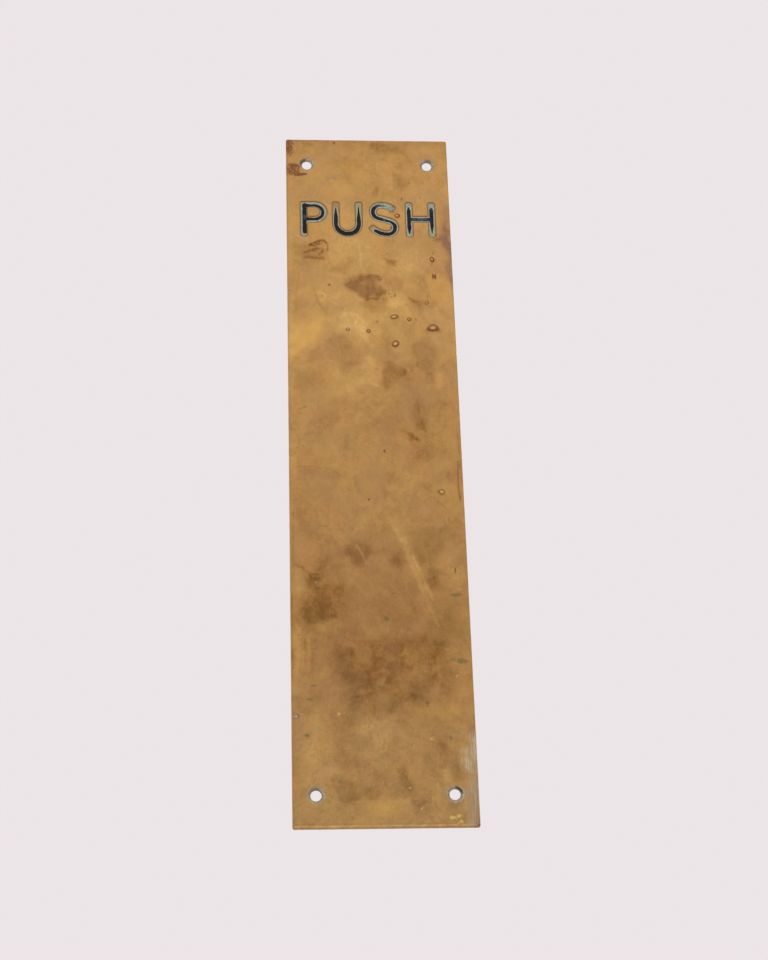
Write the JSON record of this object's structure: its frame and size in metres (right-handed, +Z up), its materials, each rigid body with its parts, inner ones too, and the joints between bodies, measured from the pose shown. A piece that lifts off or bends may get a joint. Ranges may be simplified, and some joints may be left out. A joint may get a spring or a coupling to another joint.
{
  "type": "push plate",
  "caption": "Flat rectangular brass push plate for a door, with countersunk screw holes at its corners and an engraved, black-filled PUSH legend.",
  "frame": {"origin": "centre of the back face, the face that lies on the door", "axes": "+Z up along the plate's length, +X to the right seen from the front, +Y out of the back face into the door; the front face looks towards -Y"},
  "size_m": [0.0698, 0.0016, 0.3048],
  "materials": {
    "brass": "dull, worn",
    "enamel": "gloss, worn"
  },
  "bodies": {
    "root": {"plate": "brass", "enamel_p": "enamel", "enamel_u": "enamel", "enamel_s": "enamel", "enamel_h": "enamel"}
  },
  "joints": []
}
